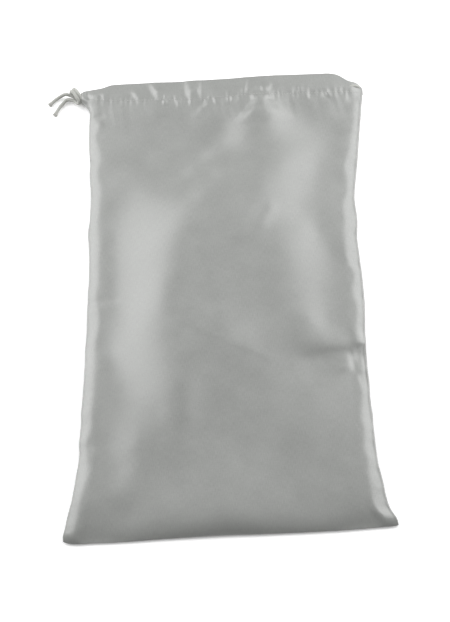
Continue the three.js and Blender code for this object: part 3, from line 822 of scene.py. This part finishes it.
# ------------------------------------------------------------- drawstring
K = np.array([-124.2, 194.5, 6.1])       # centre of the knot
CORD_R_MM = 1.5
pair = np.array([
    (9.5, -2.3, 0.0), (6.4, -2.2, 0.0), (3.4, -1.3, -0.1), (0.6, 0.4, -0.4), (-1.8, 2.4, 0.2),
    (-3.3, 4.4, 1.9), (-2.8, 4.9, 3.8), (-0.9, 3.1, 4.8), (1.5, -0.4, 4.8), (3.4, -3.6, 3.7),
    (4.3, -5.7, 1.2), (3.3, -5.9, -1.5), (0.8, -3.2, -3.0), (-2.2, 0.5, -3.0), (-5.2, 2.6, -2.0),
])
dense = catmull(pair, 14)
dense, _ = resample(dense, 0.6)
T, N, B = frames(dense, [0, 0, 1.0])
# turn the pair so that both strands lie side by side over the front of the knot
k7 = int(np.argmin(np.linalg.norm(dense - pair[7], axis=1)))
want = np.array([0.89, 0.45, 0.0])
want -= (want @ T[k7]) * T[k7]
want /= np.linalg.norm(want)
ang = math.atan2(want @ B[k7], want @ N[k7])
s = np.linspace(0, 1, len(dense))
twist = ang * np.interp(s, [0, 0.08, s[k7] - 0.05, 1.0], [0, 0, 1.0, 1.0])
side = N * np.cos(twist)[:, None] + B * np.sin(twist)[:, None]
one = K + dense + side * 1.40
two = K + dense - side * 1.40
cut = int(len(dense) * 0.93)
tail_low = [(-132.7, 193.9, 3.0), (-136.0, 191.1, 2.1), (-139.3, 187.0, 1.7), (-141.9, 182.0, 1.65)]
tail_up = [(-133.7, 198.9, 4.4), (-138.3, 197.8, 2.9), (-142.8, 195.4, 1.9), (-146.2, 192.1, 1.65)]
bend_up = []


def run(x0, x1, z, n):
    """One run of the cord in the casing; both runs come together towards the knot."""
    xs = np.linspace(x0, x1, n)
    near = 1 - S(xs, -113, -78)
    return [(float(x), float(cord_y(x)), float(z + (6.1 + (1.45 if z > 6 else -1.45) - z) * q)) for x, q in zip(xs, near)]


turn_r = (Z_LEG_F - Z_LEG_B) / 2
turn_x = 118.3
leg_f = run(-113.0, turn_x, Z_LEG_F, 14)
leg_b = run(turn_x, -113.0, Z_LEG_B, 14)
arc = []
for k in range(1, 6):
    a = math.pi / 2 - math.pi * k / 6
    x = turn_x + math.cos(a) * turn_r
    arc.append((x, float(cord_y(x)), (Z_LEG_F + Z_LEG_B) / 2 + math.sin(a) * turn_r))
knot_one = two[: int(cut * 0.96)].tolist()
knot_two = one[: cut].tolist()     # the upper tail's strand, so that the tails don't cross
route = (
    list(reversed(tail_up)) + list(reversed(bend_up)) + knot_two[::-1][::4]
    + leg_b[::-1] + arc[::-1] + leg_f[::-1] + knot_one[::4] + tail_low
)
if np.linalg.norm(np.array(knot_one[0]) - np.array(leg_f[0])) > np.linalg.norm(np.array(knot_one[0]) - np.array(leg_b[-1])):
    route = (
        list(reversed(tail_up)) + list(reversed(bend_up)) + knot_two[::-1][::4]
        + leg_f + arc + leg_b + knot_one[::4] + tail_low
    )


def relax(P, sigma, step):
    """Rounds off small corners of a path; the ends stay where they are."""
    k = np.arange(-int(3 * sigma / step), int(3 * sigma / step) + 1)
    w = np.exp(-0.5 * (k * step / sigma) ** 2)
    pad = len(k) // 2
    ends = (2 * P[:1] - P[pad:0:-1], 2 * P[-1:] - P[-2:-pad - 2:-1])
    Q = np.vstack([ends[0], P, ends[1]])
    return np.stack([np.convolve(Q[:, c], w / w.sum(), mode="valid") for c in range(3)], 1)


centre, _ = resample(catmull(route, 10), 0.4)
centre = relax(centre, 1.0, 0.4)
centre[:, 2] = 1.62 + 0.25 * np.logaddexp(0, (centre[:, 2] - 1.62) / 0.25)
centre, cord_len = resample(centre, 0.75)


def braid(k, a):
    s = k * 0.75
    return 1 + 0.035 * np.cos(4 * a + 2 * math.pi * s / 5.2) * np.cos(4 * a - 2 * math.pi * s / 5.2) + 0.012 * np.cos(8 * a)


cord_v, cord_f = tube(centre, CORD_R_MM, 24, profile=braid)
cord = join_parts("drawstring_cord", [(cord_v, cord_f)])


def melted_tip(name, p, before):
    """A heat-sealed end: the cord flares a little and closes in an uneven cap."""
    p, before = np.array(p, float), np.array(before, float)
    d = (p - before) / np.linalg.norm(p - before)
    rows = [(-0.5, 1.56), (0.2, 1.62), (0.9, 1.76), (1.6, 1.98), (2.2, 2.12), (2.65, 2.08), (2.95, 1.78), (3.1, 1.2), (3.16, 0.5)]
    P = np.array([p + d * t for t, _ in rows])
    rad = np.array([r for _, r in rows])

    def lumpy(k, a):
        return 1 + 0.05 * np.sin(3 * a + 0.6 * k) * np.clip(k / 4, 0, 1) + 0.03 * np.sin(7 * a)

    v, f = tube(P, rad, 20, profile=lumpy)
    v = np.array(v)
    v[:, 2] = np.maximum(v[:, 2], 0.12)
    return join_parts(name, [(v.tolist(), f)])


tip_up = melted_tip("cord_tip_upper_melted", centre[0], centre[4])
tip_low = melted_tip("cord_tip_lower_melted", centre[-1], centre[-5])


# -------------------------------------------------------------- materials
def new_material(name):
    m = bpy.data.materials.new(name)
    m.use_nodes = True
    nt = m.node_tree
    bsdf = nt.nodes["Principled BSDF"]
    return m, nt, bsdf


def node(nt, kind, **values):
    n = nt.nodes.new(kind)
    for k, v in values.items():
        if k in n.inputs.keys():
            n.inputs[k].default_value = v
        else:
            setattr(n, k, v)
    return n


def satin(name, base, rough=0.34, dull=False):
    m, nt, bsdf = new_material(name)
    L = nt.links.new
    uv = node(nt, "ShaderNodeUVMap", uv_map="cloth")
    # broad unevenness of the cloth's colour and gloss
    cloud = node(nt, "ShaderNodeTexNoise", Scale=5.0, Detail=3.0, Roughness=0.55)
    L(uv.outputs["UV"], cloud.inputs["Vector"])
    # slubs: short threads across the bag
    weft = node(nt, "ShaderNodeMapping")
    weft.inputs["Scale"].default_value = (22.0, 150.0, 1.0)
    L(uv.outputs["UV"], weft.inputs["Vector"])
    slub = node(nt, "ShaderNodeTexNoise", Scale=1.0, Detail=4.0, Roughness=0.65)
    L(weft.outputs["Vector"], slub.inputs["Vector"])
    warp = node(nt, "ShaderNodeMapping")
    warp.inputs["Scale"].default_value = (240.0, 26.0, 1.0)
    L(uv.outputs["UV"], warp.inputs["Vector"])
    float_ = node(nt, "ShaderNodeTexNoise", Scale=1.0, Detail=3.0, Roughness=0.6)
    L(warp.outputs["Vector"], float_.inputs["Vector"])
    mix1 = node(nt, "ShaderNodeMath", operation="MULTIPLY_ADD")
    mix1.inputs[1].default_value = 0.55
    L(slub.outputs["Fac"], mix1.inputs[0])
    L(float_.outputs["Fac"], mix1.inputs[2])
    ramp = node(nt, "ShaderNodeMapRange")
    ramp.inputs["From Min"].default_value = 0.45
    ramp.inputs["From Max"].default_value = 1.10
    ramp.inputs["To Min"].default_value = 0.0
    ramp.inputs["To Max"].default_value = 1.0
    L(mix1.outputs[0], ramp.inputs["Value"])
    tint = node(nt, "ShaderNodeMix", data_type="RGBA")
    tint.inputs[6].default_value = (*[c * 0.845 for c in base], 1)
    tint.inputs[7].default_value = (*[min(1, c * 1.145) for c in base], 1)
    L(ramp.outputs["Result"], tint.inputs[0])
    shade = node(nt, "ShaderNodeMix", data_type="RGBA", blend_type="MULTIPLY")
    shade.inputs[0].default_value = 1.0
    L(tint.outputs[2], shade.inputs[6])
    cl = node(nt, "ShaderNodeMapRange")
    cl.inputs["From Min"].default_value = 0.3
    cl.inputs["From Max"].default_value = 0.7
    cl.inputs["To Min"].default_value = 0.965
    cl.inputs["To Max"].default_value = 1.02
    L(cloud.outputs["Fac"], cl.inputs["Value"])
    L(cl.outputs["Result"], shade.inputs[7])
    L(shade.outputs[2], bsdf.inputs["Base Color"])
    rg = node(nt, "ShaderNodeMapRange")
    rg.inputs["From Min"].default_value = 0.3
    rg.inputs["From Max"].default_value = 0.7
    rg.inputs["To Min"].default_value = rough - 0.025
    rg.inputs["To Max"].default_value = rough + 0.035
    L(cloud.outputs["Fac"], rg.inputs["Value"])
    L(rg.outputs["Result"], bsdf.inputs["Roughness"])
    bump = node(nt, "ShaderNodeBump", Strength=0.10 if not dull else 0.3, Distance=0.0002)
    L(mix1.outputs[0], bump.inputs["Height"])
    L(bump.outputs["Normal"], bsdf.inputs["Normal"])
    bsdf.inputs["Specular IOR Level"].default_value = 1.0 if not dull else 0.3
    bsdf.inputs["Sheen Weight"].default_value = 0.02 if not dull else 0.2
    bsdf.inputs["Sheen Roughness"].default_value = 0.45
    bsdf.inputs["Sheen Tint"].default_value = (1, 1, 1, 1)
    return m


def thread_material(name, base):
    m, nt, bsdf = new_material(name)
    L = nt.links.new
    co = node(nt, "ShaderNodeTexCoord")
    wave = node(nt, "ShaderNodeTexWave", Scale=900.0, Distortion=1.5, Detail=2.0)
    wave.bands_direction = "DIAGONAL"
    L(co.outputs["Object"], wave.inputs["Vector"])
    mix = node(nt, "ShaderNodeMix", data_type="RGBA")
    mix.inputs[6].default_value = (*[c * 0.82 for c in base], 1)
    mix.inputs[7].default_value = (*base, 1)
    L(wave.outputs["Fac"], mix.inputs[0])
    L(mix.outputs[2], bsdf.inputs["Base Color"])
    bump = node(nt, "ShaderNodeBump", Strength=0.25, Distance=0.0001)
    L(wave.outputs["Fac"], bump.inputs["Height"])
    L(bump.outputs["Normal"], bsdf.inputs["Normal"])
    bsdf.inputs["Roughness"].default_value = 0.5
    bsdf.inputs["Sheen Weight"].default_value = 0.2
    return m


def cord_material(name, base):
    m, nt, bsdf = new_material(name)
    L = nt.links.new
    co = node(nt, "ShaderNodeTexCoord")
    fuzz = node(nt, "ShaderNodeTexNoise", Scale=1400.0, Detail=3.0, Roughness=0.6)
    L(co.outputs["Object"], fuzz.inputs["Vector"])
    patch = node(nt, "ShaderNodeTexNoise", Scale=260.0, Detail=2.0)
    L(co.outputs["Object"], patch.inputs["Vector"])
    mix = node(nt, "ShaderNodeMix", data_type="RGBA")
    mix.inputs[6].default_value = (*[c * 0.88 for c in base], 1)
    mix.inputs[7].default_value = (*[min(1, c * 1.06) for c in base], 1)
    L(fuzz.outputs["Fac"], mix.inputs[0])
    mul = node(nt, "ShaderNodeMix", data_type="RGBA", blend_type="MULTIPLY")
    mul.inputs[0].default_value = 0.12
    L(mix.outputs[2], mul.inputs[6])
    L(patch.outputs["Fac"], mul.inputs[7])
    L(mul.outputs[2], bsdf.inputs["Base Color"])
    bump = node(nt, "ShaderNodeBump", Strength=0.35, Distance=0.0002)
    L(fuzz.outputs["Fac"], bump.inputs["Height"])
    L(bump.outputs["Normal"], bsdf.inputs["Normal"])
    bsdf.inputs["Roughness"].default_value = 0.55
    bsdf.inputs["Sheen Weight"].default_value = 0.3
    bsdf.inputs["Sheen Roughness"].default_value = 0.5
    return m


SATIN = (0.254, 0.260, 0.250)
m_satin = satin("satin", SATIN)
m_inside = satin("satin_wrong_side", (0.27, 0.275, 0.268), 0.55, dull=True)
m_thread = thread_material("sewing_thread", (0.46, 0.465, 0.45))
m_cord = cord_material("cord", (0.40, 0.405, 0.378))
m_tip = cord_material("melted_cord", (0.37, 0.37, 0.345))


def paint(ob, *mats):
    ob.data.materials.clear()
    for m in mats:
        ob.data.materials.append(m)


for ob in (front_panel, back_panel, front_casing, back_casing):
    paint(ob, m_satin, m_inside)
    ob.modifiers["cloth"].material_offset = 1
    ob.modifiers["cloth"].material_offset_rim = 0
for ob in (left_allow, right_allow, bottom_allow):
    me = ob.data
    layer = me.uv_layers.new(name="cloth")
    co = np.empty(len(me.vertices) * 3)
    me.vertices.foreach_get("co", co)
    idx = np.empty(len(me.loops), int)
    me.loops.foreach_get("vertex_index", idx)
    layer.data.foreach_set("uv", (co.reshape(-1, 3)[idx][:, :2] * 10).astype(np.float32).ravel())
    paint(ob, m_inside)
for ob in (front_stitch, back_stitch, left_lock, right_lock, bottom_lock, tack):
    paint(ob, m_thread)
paint(cord, m_cord)
paint(tip_up, m_tip)
paint(tip_low, m_tip)

# ---------------------------------------------------------------- rigging
AXIS = Vector((-0.999714, 0.023925, 0.0))

STANDS_FOR = [
    (front_panel, "satin", ["front_panel"], True), (back_panel, "satin", ["back_panel"], True),
    (front_casing, "satin", ["front_casing"], True), (back_casing, "satin", ["back_casing"], True),
    (front_stitch, "sewing_thread", ["front_casing_stitch"], True),
    (back_stitch, "sewing_thread", ["back_casing_stitch"], True),
    (left_allow, "satin_wrong_side", ["left_seam_allowance"], True),
    (right_allow, "satin_wrong_side", ["right_seam_allowance"], True),
    (bottom_allow, "satin_wrong_side", ["bottom_seam_allowance"], True),
    (left_lock, "sewing_thread", ["left_overlock_thread"], True),
    (right_lock, "sewing_thread", ["right_overlock_thread"], True),
    (bottom_lock, "sewing_thread", ["bottom_overlock_thread"], True),
    (tack, "sewing_thread", ["left_slit_bartack"], True),
    (cord, "cord", ["drawstring", "drawstring_knot", "drawstring_tail_upper", "drawstring_tail_lower"], False),
    (tip_up, "melted_cord", ["cord_tip_upper"], False),
    (tip_low, "melted_cord", ["cord_tip_lower"], False),
]
for ob, slot_name, nodes, bends in STANDS_FOR:
    if bends:
        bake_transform(ob)
    else:
        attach(ob, "drawstring")
    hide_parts(*nodes)

# ------------------------------------------------------- floor and lights
floor_me = bpy.data.meshes.new("floor")
floor_me.from_pydata([(-30, -30, 0), (30, -30, 0), (30, 30, 0), (-30, 30, 0)], [], [[0, 1, 2, 3]])
floor = bpy.data.objects.new("floor", floor_me)
scene.collection.objects.link(floor)
m, nt, bsdf = new_material("floor_white")
bsdf.inputs["Base Color"].default_value = (0.93, 0.93, 0.93, 1)
bsdf.inputs["Emission Color"].default_value = (1, 1, 1, 1)
bsdf.inputs["Emission Strength"].default_value = 0.26
bsdf.inputs["Roughness"].default_value = 0.9
bsdf.inputs["Specular IOR Level"].default_value = 0.1
floor_me.materials.append(m)


def area_light(name, at, aim, size, size_y, power):
    d = bpy.data.lights.new(name, "AREA")
    d.shape = "RECTANGLE"
    d.size, d.size_y, d.energy = size, size_y, power
    o = bpy.data.objects.new(name, d)
    o.location = at
    o.rotation_mode = "QUATERNION"
    z = (Vector(at) - Vector(aim)).normalized()
    x = Vector((0, 1, 0)) - z * z.y
    x.normalize()
    o.rotation_quaternion = Matrix((x, z.cross(x), z)).transposed().to_quaternion()
    o.visible_camera = False
    scene.collection.objects.link(o)
    return o


area_light("softbox_left", (-0.80, 0.46, 0.82), (0, 0.0, 0), 1.15, 0.98, 12.5)
area_light("softbox_right", (0.72, 0.46, 0.82), (0, 0.0, 0), 1.15, 0.98, 12.5)
area_light("low_left", (-1.40, 0.34, 0.47), (0, 0.0, 0), 0.90, 0.60, 6.0)
area_light("low_right", (1.40, 0.34, 0.47), (0, 0.0, 0), 0.90, 0.60, 6.0)

world = bpy.data.worlds.new("studio")
world.use_nodes = True
world.node_tree.nodes["Background"].inputs["Color"].default_value = (1, 1, 1, 1)
world.node_tree.nodes["Background"].inputs["Strength"].default_value = 0.22
scene.world = world
scene.view_settings.view_transform = "Standard"
